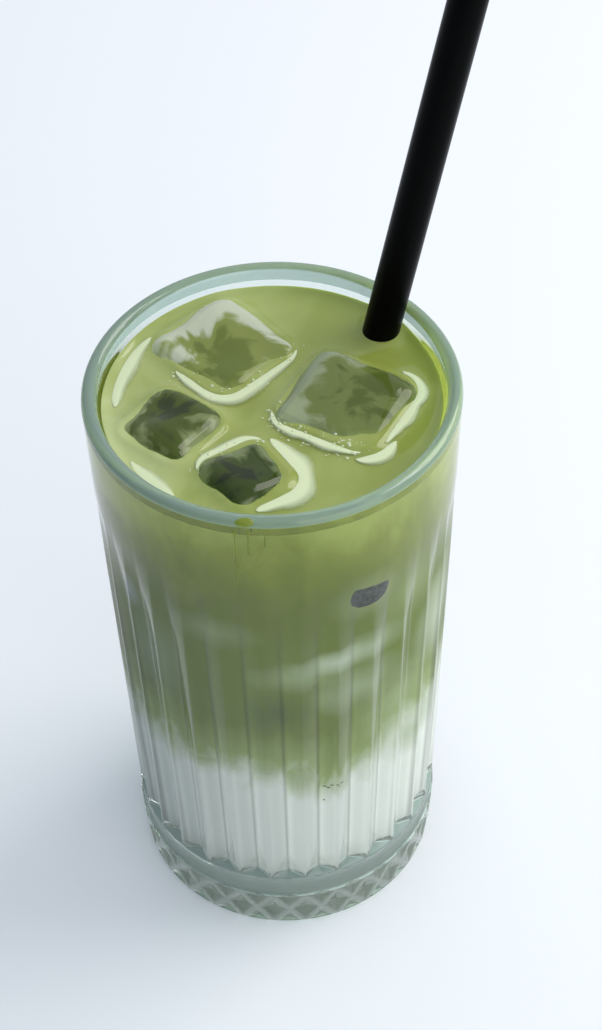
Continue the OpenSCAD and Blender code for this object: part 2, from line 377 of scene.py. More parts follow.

# %% [markdown]
# ## Ice
# Cubes that have begun to melt: a cube with strongly rounded edges, slightly hollow
# faces and an uneven skin.  Each shape is made once as a recipe, because the drink
# needs the same shape again, a little smaller, to cut the pocket it floats in.

# %% Recipe of a melting cube
# width in mm; depth, height and rounding as shares of it; turn and tilt in degrees;
# the darkest of the three colours is painted shade over the cube's middle, the palest a
# painted highlight at its rim, and the last pair is how fast that painted highlight grows
# towards the cube's own +X and +Y
ICE = {
    "ice_back": dict(width=24.0, depth=1.04, height=0.82, turn=42, tilt=(6, -4), seed=3,
                     round=0.19, painted_shade="76853A", core="95A252", painted_highlight="E0E7CE", clear=0.38,
                     lit_side=(0.4, 0.5)),
    "ice_right": dict(width=25.0, depth=1.0, height=0.8, turn=60, tilt=(5, -6), seed=8,
                      round=0.17, painted_shade="627230", core="80904C", painted_highlight="AFBD96", clear=0.45,
                      lit_side=(-0.35, 0.4)),
    "ice_left": dict(width=19.0, depth=1.0, height=0.9, turn=52, tilt=(-3, 2), seed=12,
                     round=0.22, painted_shade="33430A", core="566814", painted_highlight="A6B378", clear=0.5,
                     lit_side=(-0.1, 0.2)),
    "ice_front": dict(width=16.0, depth=1.0, height=0.95, turn=32, tilt=(3, -4), seed=21,
                      round=0.27, painted_shade="243404", core="43580C", painted_highlight="8FA168", clear=0.55,
                      lit_side=(0.2, 0.1)),
}
ICE_CENTRE = {name: sum(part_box(name), Vector()) / 2 for name in ICE}
# depth and length, in mm, of the slow waves and of the fine ripples of the skin
WAVE, WAVE_LONG = 1.5, 9
RIPPLE, RIPPLE_LONG = 0.15, 4
MELTED = 0.1  # the skin has drawn back by this much all round


def melting_cube(name, shrink=0.0):
    """The bmesh of one cube in its place; shrink in mm moves its skin inwards."""
    data = ICE[name]
    size = Vector((data["width"], data["width"] * data["depth"],
                   data["width"] * data["height"])) * MM
    bm = bmesh.new()
    bmesh.ops.create_cube(bm, size=1.0)
    bmesh.ops.scale(bm, vec=size, verts=bm.verts)
    bmesh.ops.bevel(bm, geom=list(bm.edges) + list(bm.verts), offset=data["round"] * size.x,
                    segments=5, profile=0.5, affect="EDGES", material=-1)
    bmesh.ops.subdivide_edges(bm, edges=bm.edges, cuts=4, use_grid_fill=True)
    bmesh.ops.smooth_vert(bm, verts=bm.verts, factor=0.5,
                          use_axis_x=True, use_axis_y=True, use_axis_z=True)
    bm.normal_update()
    # this share is 0 over the middle of the cube, where shade is painted, and grows towards
    # its rim and lit side, where a highlight is painted
    rim = bm.verts.layers.float.new("rim")
    moves = []
    for vert in bm.verts:
        east, north = vert.co.x / size.x * 2, vert.co.y / size.y * 2
        vert[rim] = (max(abs(east), abs(north)) + data["lit_side"][0] * east
                     + data["lit_side"][1] * north)
        wave = noise.noise(vert.co / (WAVE_LONG * MM) + Vector((data["seed"], 0, 0)))
        fine = noise.noise(vert.co / (RIPPLE_LONG * MM) + Vector((0, data["seed"], 0)))
        moves.append(vert.normal * (WAVE * wave + RIPPLE * fine - MELTED - shrink) * MM)
    for vert, move in zip(bm.verts, moves):
        vert.co += move
    place = (Matrix.Translation(ICE_CENTRE[name])
             @ Matrix.Rotation(math.radians(data["turn"]), 4, "Z")
             @ Matrix.Rotation(math.radians(data["tilt"][1]), 4, "Y")
             @ Matrix.Rotation(math.radians(data["tilt"][0]), 4, "X"))
    bmesh.ops.transform(bm, matrix=place, verts=bm.verts)
    return bm


# %% [markdown]
# Ice that has lain in tea isn't quite clear: the drink's colour scatters in its
# cracks.  So its skin is part glass and part green, with painted shade over the deep
# middle of the cube and a painted highlight near its melted rim and on one side.

# %% Wet ice
def wet_ice(name, painted_shade, core, painted_highlight, clear):
    """Ice with painted shade over its green depth, cloudy streaks and a painted highlight at
    its melted rim.
    """
    material, tree = new_material("wet_ice_painted_shade_and_highlight_" + name)
    place = add_node(tree, "ShaderNodeTexCoord")
    point = place.outputs["Object"]
    rim = add_node(tree, "ShaderNodeAttribute", attribute_name="rim")
    # the noise adds cloudy streaks, and patches of painted reflection
    cloud = add_node(tree, "ShaderNodeTexNoise",
                     {"Scale": 95.0, "Detail": 3.0, "Roughness": 0.5, "Distortion": 1.3},
                     {"Vector": point})
    blotch = add_node(tree, "ShaderNodeMath", {1: 2.4, 2: -1.2},
                      {0: cloud.outputs["Fac"]}, operation="MULTIPLY_ADD")
    share = add_node(tree, "ShaderNodeMath", None,
                     {0: rim.outputs["Fac"], 1: blotch.outputs[0]}, operation="ADD")
    ramp = add_node(tree, "ShaderNodeValToRGB", None, {"Fac": share.outputs[0]})
    # painted shade over the middle, the green of the ice, and a painted highlight at the rim
    fill_ramp(ramp, [(0.12, painted_shade), (0.42, core), (0.6, core), (1.0, painted_highlight)])
    ramp.color_ramp.interpolation = "EASE"
    # melting leaves shallow hollows about 7 mm across
    hollows = add_node(tree, "ShaderNodeTexNoise", {"Scale": 150.0, "Detail": 1.0},
                       {"Vector": point})
    bump = add_node(tree, "ShaderNodeBump", {"Strength": 1.0, "Distance": 0.3 * MM},
                    {"Height": hollows.outputs["Fac"]})
    shader = add_node(tree, "ShaderNodeBsdfPrincipled",
                      {"IOR": 1.31, "Roughness": 0.05, "Specular IOR Level": 0.4,
                       "Coat Weight": 0.35, "Coat Roughness": 0.03, "Coat IOR": 1.45,
                       "Transmission Weight": clear},
                      {"Base Color": ramp.outputs["Color"],
                       "Normal": bump.outputs["Normal"]})
    let_lamps_in(tree, shader, "E9EFE4")
    return material


for name, data in ICE.items():
    ice_skin = wet_ice(name, data["painted_shade"], data["core"], data["painted_highlight"], data["clear"])
    finish_piece("melting_" + name, melting_cube(name), [ice_skin], [name])

# %% [markdown]
# ## The straw
# A drawn plastic tube, cut square at both ends.  A tube is a ring profile turned
# about its own axis; the cut edges are broken by a fine bevel, because a knife never
# leaves them perfectly sharp.

# %% Straw
STRAW_R, STRAW_WALL, STRAW_L = 4.0, 0.3, 230.0
STRAW_BEVEL = 0.08
straw_low, straw_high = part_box("straw")


def straw_axis():
    """The straw's lower end and its direction, from its box in the frame."""
    low, high = straw_low / MM, straw_high / MM
    direction = Vector((1, 1, 1))
    for _ in range(20):
        across = [2 * STRAW_R * math.sqrt(max(0.0, 1 - c * c)) for c in direction]
        direction = Vector([(high[i] - low[i] - across[i]) / STRAW_L for i in range(3)])
    direction.normalize()
    middle = (low + high) / 2
    return middle - direction * STRAW_L / 2, direction


STRAW_FOOT, STRAW_DIR = straw_axis()
print("straw leans", round(math.degrees(math.acos(STRAW_DIR.z)), 1), "degrees")


def straw_place():
    """Moves a piece made along +Z to where the straw stands."""
    turn_to = Vector((0, 0, 1)).rotation_difference(STRAW_DIR).to_matrix().to_4x4()
    return Matrix.Translation(STRAW_FOOT * MM) @ turn_to


def tube(points, steps):
    """A closed ring of outline points turned about the Z axis."""
    bm = bmesh.new()
    verts = [bm.verts.new((r * MM, 0, z * MM)) for r, z in points]
    edges = [bm.edges.new(pair) for pair in zip(verts, verts[1:] + verts[:1])]
    bmesh.ops.spin(bm, geom=verts + edges, cent=(0, 0, 0), axis=(0, 0, 1),
                   angle=2 * math.pi, steps=steps, use_merge=True)
    bmesh.ops.remove_doubles(bm, verts=bm.verts, dist=1e-7)
    bmesh.ops.recalc_face_normals(bm, faces=bm.faces)
    return bm


inner, foot_z, end_z = STRAW_R - STRAW_WALL, STRAW_BEVEL, STRAW_L - STRAW_BEVEL
straw_outline = [(inner, foot_z), (inner + STRAW_BEVEL, 0), (STRAW_R - STRAW_BEVEL, 0),
                 (STRAW_R, foot_z)]
straw_outline += line((STRAW_R, foot_z), (STRAW_R, end_z), 12)[1:]
straw_outline += [(STRAW_R, end_z), (STRAW_R - STRAW_BEVEL, STRAW_L),
                  (inner + STRAW_BEVEL, STRAW_L), (inner, end_z)]
straw_outline += line((inner, end_z), (inner, foot_z), 12)[1:]
bm = tube(straw_outline, 64)
bmesh.ops.transform(bm, matrix=straw_place(), verts=bm.verts)

# drawing leaves fine grain on a nearly black skin, so it shows only a dull streak
straw_black, tree = new_material("black_polypropylene_drawn")
place = add_node(tree, "ShaderNodeTexCoord")
drawn = add_node(tree, "ShaderNodeTexNoise", {"Scale": 900.0, "Detail": 2.0},
                 {"Vector": place.outputs["Object"]})
bump = add_node(tree, "ShaderNodeBump", {"Strength": 0.3, "Distance": 0.00002},
                {"Height": drawn.outputs["Fac"]})
shader = add_node(tree, "ShaderNodeBsdfPrincipled",
                  {"Base Color": linear("020202"), "Roughness": 0.28, "IOR": 1.49,
                   "Specular IOR Level": 0.05},
                  {"Normal": bump.outputs["Normal"]})
add_node(tree, "ShaderNodeOutputMaterial", None, {"Surface": shader.outputs[0]})
finish_piece("drinking_straw", bm, [straw_black], ["straw"])

# %% [markdown]
# ## The drink
# Milk lies below and the green tea above, and they blend at their border.  Both are
# cloudy, so light sinks in a little and comes out again.  Under the glass their skin
# isn't glossy, because glass and drink bend light almost alike; the open top is wet.


# %% Drink materials
# colours at the side from the floor up, of the top from its dark to its pale swirls and
# its painted highlight, and the painted shade across one flute
SIDE_STOPS = [(0.10, "E2E4DF"), (0.36, "E9EBE6"), (0.40, "CBD3BC"), (0.45, "93A362"),
              (0.55, "71812E"), (0.69, "6D7E24"), (0.83, "687712"), (0.93, "87912D"),
              (1.0, "A9B356")]
TOP_STOPS = [(0.0, "7C8739"), (0.4, "8C984A"), (0.6, "A0AB66"), (1.0, "BAC490")]
STRIPES = [(0.0, 0.66), (0.22, 1.0), (0.42, 0.88), (0.6, 0.9), (0.8, 1.0), (1.0, 0.66)]


def on_wall(degrees, z):
    """The point of the drink's side in this direction and at this height, in metres."""
    angle, radius = math.radians(degrees), cavity_radius(z)
    return Vector((radius * math.cos(angle), radius * math.sin(angle), z)) * MM


# direction, height, width and height of each pale and each dark patch in mm, colour and
# strength
SIDE_PATCHES = [(-82, 97.0, 26, 12, "A4B287", 0.7), (-69, 100.0, 22, 9, "C9D4BC", 0.75),
          (-56, 101.0, 22, 12, "BECAB0", 0.6), (-60, 88.0, 26, 18, "B3BFA0", 0.7),
          (-42, 76.0, 24, 26, "AAB88C", 0.8), (-112, 111.0, 22, 12, "A0AC84", 0.5),
          (-140, 92.0, 20, 40, "97A58A", 0.8), (-150, 109.0, 7, 12, "A9B3C0", 0.9),
          (-92, 84.0, 16, 18, "4E6218", 0.8), (-40, 112.0, 22, 24, "98A66C", 0.7),
          (-98, 124.0, 14, 14, "66751A", 0.7), (-60, 119.0, 18, 16, "9CA87C", 0.6),
          (-14, 90.0, 26, 34, "D6DECD", 0.9), (-28, 56.0, 24, 20, "A4B28A", 1.0)]


def add_patches(tree, point, colour, swirl):
    """Lays each patch over a colour: a soft ellipsoid, torn by a noise."""
    for degrees, z, wide, high, tint, strength in SIDE_PATCHES:
        size = Vector((wide, wide, high)) * MM / 2
        moved = add_node(tree, "ShaderNodeMapping",
                         {"Location": on_wall(degrees, z), "Scale": size},
                         {"Vector": point}, vector_type="TEXTURE")
        ball = add_node(tree, "ShaderNodeTexGradient", None,
                        {"Vector": moved.outputs[0]}, gradient_type="SPHERICAL")
        torn = add_node(tree, "ShaderNodeMath", None,
                        {0: ball.outputs["Fac"], 1: swirl}, operation="MULTIPLY")
        share = add_node(tree, "ShaderNodeMath", {1: 2.2 * strength},
                         {0: torn.outputs[0]}, operation="MULTIPLY", use_clamp=True)
        mix = add_node(tree, "ShaderNodeMix", {"B": linear(tint)},
                       {"Factor": share.outputs[0], "A": colour}, data_type="RGBA")
        colour = mix.outputs["Result"]
    return colour


def add_stripes(tree, parts, colour):
    """Light and shade that the flutes throw on the drink, in upright lines."""
    angle = add_node(tree, "ShaderNodeMath", None,
                     {0: parts.outputs["Y"], 1: parts.outputs["X"]}, operation="ARCTAN2")
    turns = add_node(tree, "ShaderNodeMath", {1: 1 / PITCH, 2: -FIRST_VALLEY / PITCH},
                     {0: angle.outputs[0]}, operation="MULTIPLY_ADD")
    share = add_node(tree, "ShaderNodeMath", None, {0: turns.outputs[0]},
                     operation="FRACT")
    ramp = add_node(tree, "ShaderNodeValToRGB", None, {"Fac": share.outputs[0]})
    fill_ramp(ramp, [(at, "{0:02X}{0:02X}{0:02X}".format(round(255 * value)))
                     for at, value in STRIPES])
    reach = add_node(tree, "ShaderNodeMapRange",
                     {"From Min": FLUTE_TOP * MM, "From Max": 0.8 * RUNOUT_Z * MM,
                      "To Max": 0.6}, {"Value": parts.outputs["Z"]})
    mix = add_node(tree, "ShaderNodeMix", None,
                   {"Factor": reach.outputs[0], "A": colour, "B": ramp.outputs["Color"]},
                   data_type="RGBA", blend_type="MULTIPLY")
    return mix.outputs["Result"]


def drink_material(name, wet):
    """Milk below, tea above, with swirls where they mix, patches on the side, painted light
    and shade from the flutes and a painted highlight on the top.
    """
    material, tree = new_material(name)
    place = add_node(tree, "ShaderNodeTexCoord")
    point = place.outputs["Object"]
    stretch = add_node(tree, "ShaderNodeMapping", {"Scale": (1.0, 1.0, 0.45)},
                       {"Vector": point})
    big = add_node(tree, "ShaderNodeTexNoise",
                   {"Scale": 42.0, "Detail": 3.0, "Roughness": 0.5, "Distortion": 0.6},
                   {"Vector": stretch.outputs[0]})
    fine = add_node(tree, "ShaderNodeTexNoise",
                    {"Scale": 160.0, "Detail": 4.0, "Roughness": 0.6, "Distortion": 1.2},
                    {"Vector": stretch.outputs[0]})
    ramp = add_node(tree, "ShaderNodeValToRGB")
    parts = add_node(tree, "ShaderNodeSeparateXYZ", None, {"Vector": point})
    if wet:
        fill_ramp(ramp, TOP_STOPS)
        # the top has a painted highlight: it is paler on the side away from the window
        across = add_node(tree, "ShaderNodeMath", {1: -6.0},
                          {0: parts.outputs["X"], 2: big.outputs["Fac"]},
                          operation="MULTIPLY_ADD")
        tree.links.new(across.outputs[0], ramp.inputs["Fac"])
        colour = ramp.outputs["Color"]
    else:
        fill_ramp(ramp, SIDE_STOPS)
        level = add_node(tree, "ShaderNodeMath", {1: 1 / (LEVEL * MM), 2: -0.2},
                         {0: parts.outputs["Z"]}, operation="MULTIPLY_ADD")
        sway = add_node(tree, "ShaderNodeMath", {1: 0.3},
                        {0: big.outputs["Fac"], 2: level.outputs[0]},
                        operation="MULTIPLY_ADD")
        curl = add_node(tree, "ShaderNodeMath", {1: 0.1},
                        {0: fine.outputs["Fac"], 2: sway.outputs[0]},
                        operation="MULTIPLY_ADD")
        tree.links.new(curl.outputs[0], ramp.inputs["Fac"])
        colour = add_patches(tree, point, ramp.outputs["Color"], big.outputs["Fac"])
        colour = add_stripes(tree, parts, colour)
    shader = add_node(tree, "ShaderNodeBsdfPrincipled",
                      {"Roughness": 0.06 if wet else 0.5, "IOR": 1.5 if wet else 1.34,
                       "Specular IOR Level": 0.45 if wet else 0.0,
                       "Subsurface Weight": 0.6 if wet else 0.0,
                       "Subsurface Radius": (1.0, 1.0, 0.5),
                       "Subsurface Scale": 1.2 * MM},
                      {"Base Color": colour})
    add_node(tree, "ShaderNodeOutputMaterial", None, {"Surface": shader.outputs[0]})
    return material


drink_side = drink_material("milk_and_tea_behind_glass", False)
drink_top = drink_material("milk_and_tea_open_top", True)
print("drink materials made")


# %% [markdown]
# The open surface isn't flat: it climbs a little up the glass, the straw and each
# cube of ice, as water does within 2 to 3 mm of what it wets.

# %% Height of the open surface
WATERLINE_INSET = 0.5  # the cube is this much narrower where it meets the drink
WATERLINE_ROUND = 0.2  # rounding of its corners there, as a share of its width


def rounded_box_gap(name, x, y):
    """Distance in mm from a point on the surface to one cube's waterline."""
    data = ICE[name]
    centre = ICE_CENTRE[name] / MM
    angle = -math.radians(data["turn"])
    dx, dy = x - centre.x, y - centre.y
    across = abs(dx * math.cos(angle) - dy * math.sin(angle))
    along = abs(dx * math.sin(angle) + dy * math.cos(angle))
    corner = WATERLINE_ROUND * data["width"]
    half_a = data["width"] / 2 - WATERLINE_INSET - corner
    half_b = data["width"] * data["depth"] / 2 - WATERLINE_INSET - corner
    out = math.hypot(max(across - half_a, 0), max(along - half_b, 0))
    return out + min(max(across - half_a, along - half_b), 0) - corner


def straw_gap(x, y, z):
    """Distance in mm from a point at height z to the straw's side."""
    along = (z - STRAW_FOOT.z) / STRAW_DIR.z
    centre = STRAW_FOOT + STRAW_DIR * along
    return math.hypot(x - centre.x, y - centre.y) - STRAW_R


CREEP = 1.28  # the drink climbs this far, in mm, up what it wets
CAPILLARY = 1.9  # and this far from it the climb has sunk to a third
MOST_RISE = 3.0


def surface_rise(x, y):
    """How far the drink climbs above its level at a point, in mm."""
    gaps = [cavity_radius(LEVEL) - math.hypot(x, y), straw_gap(x, y, LEVEL)]
    gaps += [rounded_box_gap(name, x, y) for name in ICE]
    rise = sum(CREEP * math.exp(-max(gap, 0) / CAPILLARY) for gap in gaps)
    return min(rise, MOST_RISE)


# %% Drink pieces
OVERLAP = 0.25  # how far the drink reaches into the glass, so that no air shows
CRISP = 0.05  # points this near a corner keep its shading sharp


def cut_away(piece, cutter_bm):
    """Cuts a shape out of a piece and keeps the cut walls."""
    mesh = bpy.data.meshes.new("cutter")
    cutter_bm.to_mesh(mesh)
    cutter_bm.free()
    cutter = bpy.data.objects.new("cutter", mesh)
    bpy.context.scene.collection.objects.link(cutter)
    modifier = piece.modifiers.new("cut", "BOOLEAN")
    modifier.operation = "DIFFERENCE"
    modifier.solver = "MANIFOLD"
    modifier.object = cutter
    shaped = bpy.data.meshes.new_from_object(
        piece.evaluated_get(bpy.context.evaluated_depsgraph_get()))
    piece.modifiers.clear()
    piece.data = shaped
    bpy.data.objects.remove(cutter)


def drink_outline(low, high, rings):
    """Outline of the drink between two heights, pushed a little into the wall."""
    points = []
    top_r = cavity_radius(high) + OVERLAP
    if low < FLOOR_Z + 1:
        wall_r = floor_wall_r + OVERLAP
        fillet = FLOOR_FILLET + OVERLAP
        points += line((0, FLOOR_Z - OVERLAP), (wall_r - fillet, FLOOR_Z - OVERLAP), 6)
        points += arc(wall_r - fillet, FLOOR_Z + FLOOR_FILLET, fillet, -90, 0, 8)
        low = FLOOR_Z + FLOOR_FILLET + 1
    else:
        low_r = cavity_radius(low) + OVERLAP
        points += line((0, low), (low_r - CRISP, low), 12) + [(low_r - CRISP, low)]
        points += [(low_r, low)]
        low += CRISP
    points += line((cavity_radius(low) + OVERLAP, low), (top_r, high - CRISP), 24)
    points += [(top_r, high - CRISP), (top_r, high)]
    points += line((top_r - CRISP, high), (0, high), rings) + [(0, high)]
    return points


bm = turn(drink_outline(FLOOR_Z, MILK_TOP, 12), 160)
finish_piece("milk_layer", bm, [drink_side], ["milk"])

bm = turn(drink_outline(MILK_TOP, LEVEL, 64), 240)
for vert in bm.verts:
    if vert.co.z > (LEVEL - 0.01) * MM:
        vert.co.z += surface_rise(vert.co.x / MM, vert.co.y / MM) * MM
for face in bm.faces:
    face.material_index = 1 if face.normal.z > 0.2 else 0
matcha = finish_piece("matcha_layer", bm, [drink_side, drink_top], ["matcha"])
POCKET_SHRINK = 0.2  # the drink reaches this far into the ice, so that no gap shows
for name in ICE:
    cut_away(matcha, melting_cube(name, POCKET_SHRINK))
print("matcha after its pockets:", len(matcha.data.polygons), "faces")

# %% [markdown]
# ## Film, foam and drops
# Where ice, glass and tea meet, a pale milky film gathers, with lines of fine foam,
# and where the drink climbs the ice and the glass, pale crescents are painted
# reflections of the window, made as the same films.
# Each film is one lens-shaped ring that is extruded along a smooth path, and its path
# hugs a cube's waterline or the wall, so it follows them if they move.  The foam on it
# is a scatter of tiny flattened balls.


# %% Sweeping a film
def smooth_path(points, step):
    """Points about step apart on a Catmull-Rom curve through the given ones."""
    points = [Vector(p) for p in points]
    ends = [2 * points[0] - points[1]] + points + [2 * points[-1] - points[-2]]
    path = []
    for a, b, c, d in zip(ends, ends[1:], ends[2:], ends[3:]):
        count = max(1, round((c - b).length / step))
        for i in range(count):
            t = i / count
            path.append(0.5 * (2 * b + (c - a) * t + (2 * a - 5 * b + 4 * c - d) * t * t
                               + (3 * b - 3 * c + d - a) * t ** 3))
    return path + [points[-1]]


def sweep_film(bm, path, ups, widths, thick):
    """Extrudes a flat lens along a path in mm; ups point away from what it lies on.

    The attribute body runs from 0 at the lens's edges to 1 along its middle.
    """
    body = bm.verts.layers.float.get("body") or bm.verts.layers.float.new("body")
    frames = []
    for i, (point, up, width) in enumerate(zip(path, ups, widths)):
        ahead = path[min(i + 1, len(path) - 1)] - path[max(i - 1, 0)]
        side = ahead.cross(up).normalized()
        ahead = up.cross(side).normalized()
        axes = Matrix((side * width / 2, up * thick, ahead)).transposed().to_4x4()
        frames.append(Matrix.Translation(point * MM) @ Matrix.Scale(MM, 4) @ axes)
    ring = bmesh.ops.create_circle(bm, cap_ends=True, segments=10, radius=1.0,
                                   matrix=frames[0])["verts"]
    edges = [edge for edge in bm.edges if edge.verts[0] in ring]
    for vert in ring:
        vert[body] = 0.0
    for last, frame in zip(frames, frames[1:]):
        made = bmesh.ops.extrude_edge_only(bm, edges=edges)["geom"]
        verts = [item for item in made if isinstance(item, bmesh.types.BMVert)]
        edges = [item for item in made if isinstance(item, bmesh.types.BMEdge)
                 and item.verts[0] in verts and item.verts[1] in verts]
        bmesh.ops.transform(bm, matrix=frame @ last.inverted(), verts=verts)
        for vert in verts:
            vert[body] = 0.0 if frame == frames[-1] else (
                1 - abs((frame.inverted() @ vert.co).x))
    bmesh.ops.edgeloop_fill(bm, edges=edges)


def swelling(count, widest, least=0.12):
    """Widths that grow from both ends to the widest in the middle."""
    return [widest * max(least, abs(math.sin(math.pi * i / (count - 1))) ** 0.7)
            for i in range(count)]


def on_surface(path):
    """Lifts points (x, y) to the open surface."""
    return [Vector((p.x, p.y, LEVEL + surface_rise(p.x, p.y))) for p in path]


# %% Milky film and painted reflections of the window
UP = Vector((0, 0, 1))
# what each film hugs, its two directions in degrees, its gap and width in mm, its foam;
# the five without foam are painted reflections of the window on the climbing drink
FILMS_AND_PAINTED_REFLECTIONS = [("ice_front", 65, -80, 2.2, 8.5, 0), ("ice_right", 35, -60, 1.2, 4.6, 0),
         ("ice_right", -50, -86, 2.6, 4.6, 0), ("wall", 142, 182, 2.6, 5.5, 0),
         ("wall", -150, -126, 1.9, 5.0, 0), ("ice_front", 175, 70, 0.8, 3.6, 30),
         ("ice_back", -145, -5, 1.0, 5.6, 45), ("ice_right", -170, -80, 1.0, 4.6, 110)]


def hugging(thing, start, end, gap):
    """A path in mm beside a cube's waterline or the wall, between two directions."""
    centre = Vector((0, 0, 0)) if thing == "wall" else ICE_CENTRE[thing] / MM
    count = max(3, round(abs(end - start) / 6))
    path = []
    for i in range(count + 1):
        angle = math.radians(start + (end - start) * i / count)
        ray = Vector((math.cos(angle), math.sin(angle), 0))
        reach = cavity_radius(LEVEL) - gap
        if thing != "wall":
            reach = 4.0
            while rounded_box_gap(thing, *(centre + ray * reach).xy) < gap:
                reach += 0.1
        path.append(Vector((centre.x, centre.y, 0)) + ray * reach)
    return path


def ragged(path, widths):
    """Widths made uneven, as a film's edge is."""
    return [width * (1 + 0.4 * noise.noise(point / 5.0))
            for point, width in zip(path, widths)]


FILM_STEP, FILM_THICK = 0.7, 0.22
bm = bmesh.new()
for thing, start, end, gap, widest, bubbles in FILMS_AND_PAINTED_REFLECTIONS:
    path = on_surface(smooth_path(hugging(thing, start, end, gap), FILM_STEP))
    widths = ragged(path, swelling(len(path), widest))
    sweep_film(bm, path, [UP] * len(path), widths, FILM_THICK)
bmesh.ops.recalc_face_normals(bm, faces=bm.faces)
milk_film_and_painted_reflection, tree = new_material("wet_milk_film_and_painted_reflection")
# a film thins out to nothing at its edges
body = add_node(tree, "ShaderNodeAttribute", attribute_name="body")
cover = add_node(tree, "ShaderNodeMapRange", {"From Min": 0.0, "From Max": 0.7},
                 {"Value": body.outputs["Fac"]}, interpolation_type="SMOOTHSTEP")
# one pale colour for the milk film and for the painted reflections of the window
shader = add_node(tree, "ShaderNodeBsdfPrincipled",
                  {"Base Color": linear("CFDAB4"), "Roughness": 0.15, "IOR": 1.4,
                   "Specular IOR Level": 0.5, "Subsurface Weight": 0.4,
                   "Subsurface Radius": (1.0, 1.0, 0.6), "Subsurface Scale": 0.5 * MM},
                  {"Alpha": cover.outputs[0]})
add_node(tree, "ShaderNodeOutputMaterial", None, {"Surface": shader.outputs[0]})
finish_piece("milk_film_and_painted_reflection", bm, [milk_film_and_painted_reflection])

# %% Foam bubbles
# bubbles of 0.3 to 0.9 mm across, most of them small, lie along three of the films
bm = bmesh.new()
dice = random.Random(11)
for thing, start, end, gap, widest, bubbles in FILMS_AND_PAINTED_REFLECTIONS:
    path = smooth_path(hugging(thing, start, end, gap), 0.3)
    for _ in range(bubbles):
        spot = dice.choice(path) + Vector((dice.uniform(-0.5, 0.5),
                                           dice.uniform(-0.5, 0.5), 0)) * widest
        radius = 0.13 + 0.32 * dice.random() ** 3
        at = on_surface([spot])[0] + UP * 0.15
        bmesh.ops.create_icosphere(
            bm, subdivisions=2, radius=radius * MM,
            matrix=Matrix.Translation(at * MM) @ Matrix.Diagonal((1, 1, 0.7, 1)))
foam = clear_material("milk_foam_bubbles", "D6DDBE", 1.33, 0.05, "F2F5EA",
                      clearness=0.35)
finish_piece("foam_bubbles", bm, [foam])

# %% [markdown]
# One more cube floats under the surface and touches the glass, where it shows as a dark
# patch of painted shade.  It is a small melting cube whose outer side is pressed to the
# wall.

# %% Ice under the surface
SUNK_AT, SUNK_Z = -59.5, 118.8
SUNK_SIZE = Vector((9.0, 8.8, 6.0)) * MM  # into the glass, along the wall and upwards
SUNK_ROUND, SUNK_TILT, SUNK_INSET = 1.4, -14, 3.2
SUNK_PROUD = 0.07  # it shows in front of the drink's skin by this much
angle = math.radians(SUNK_AT)
bm = bmesh.new()
bmesh.ops.create_cube(bm, size=1.0)
bmesh.ops.scale(bm, vec=SUNK_SIZE, verts=bm.verts)
bmesh.ops.bevel(bm, geom=list(bm.edges) + list(bm.verts), offset=SUNK_ROUND * MM,
                segments=3, profile=0.5, affect="EDGES", material=-1)
bmesh.ops.subdivide_edges(bm, edges=bm.edges, cuts=3, use_grid_fill=True)
for vert in bm.verts:
    if vert.co.z < 0:
        vert.co.y *= 1 - 0.6 * (vert.co.z / (SUNK_SIZE.z / 2)) ** 2
    vert.co += Vector((0, 1, 1)) * noise.noise(vert.co / (2.5 * MM)) * 0.35 * MM
sunk_middle = (Vector((math.cos(angle), math.sin(angle), 0))
               * (cavity_radius(SUNK_Z) - SUNK_INSET) + UP * SUNK_Z) * MM
bmesh.ops.transform(bm, matrix=Matrix.Translation(sunk_middle)
                    @ Matrix.Rotation(angle, 4, "Z")
                    @ Matrix.Rotation(math.radians(SUNK_TILT), 4, "X"), verts=bm.verts)
for vert in bm.verts:
    limit = (cavity_radius(vert.co.z / MM) + OVERLAP + SUNK_PROUD) * MM
    if vert.co.xy.length > limit:
        vert.co.xy *= limit / vert.co.xy.length

# clear ice against the tea: painted shade makes it nearly black, as the dim drink behind
# it shows through, with a few pale cracks and no gloss, because glass and ice bend light
# almost alike
sunk_ice_painted_shade, tree = new_material("wet_ice_on_glass_painted_shade")
place = add_node(tree, "ShaderNodeTexCoord")
cracks = add_node(tree, "ShaderNodeTexNoise",
                  {"Scale": 700.0, "Detail": 5.0, "Roughness": 0.7, "Distortion": 2.5},
                  {"Vector": place.outputs["Object"]})
ramp = add_node(tree, "ShaderNodeValToRGB", None, {"Fac": cracks.outputs["Fac"]})
fill_ramp(ramp, [(0.0, "1F2620"), (0.5, "262D27"), (0.56, "59615A"), (0.6, "2B332D"),
                 (1.0, "333B34")])
shader = add_node(tree, "ShaderNodeBsdfPrincipled",
                  {"Roughness": 0.5, "IOR": 1.31, "Specular IOR Level": 0.0},
                  {"Base Color": ramp.outputs["Color"]})
add_node(tree, "ShaderNodeOutputMaterial", None, {"Surface": shader.outputs[0]})
finish_piece("sunken_ice", bm, [sunk_ice_painted_shade])

# %% [markdown]
# A sip or a careless stir left a drop of tea on the front of the lip, and three fine
# runs below it.

# %% Drop and runs on the glass
DROP = Vector((-5.6, -38.6, 149.2))
DROP_SIZE = (2.1, 1.1, 0.9)
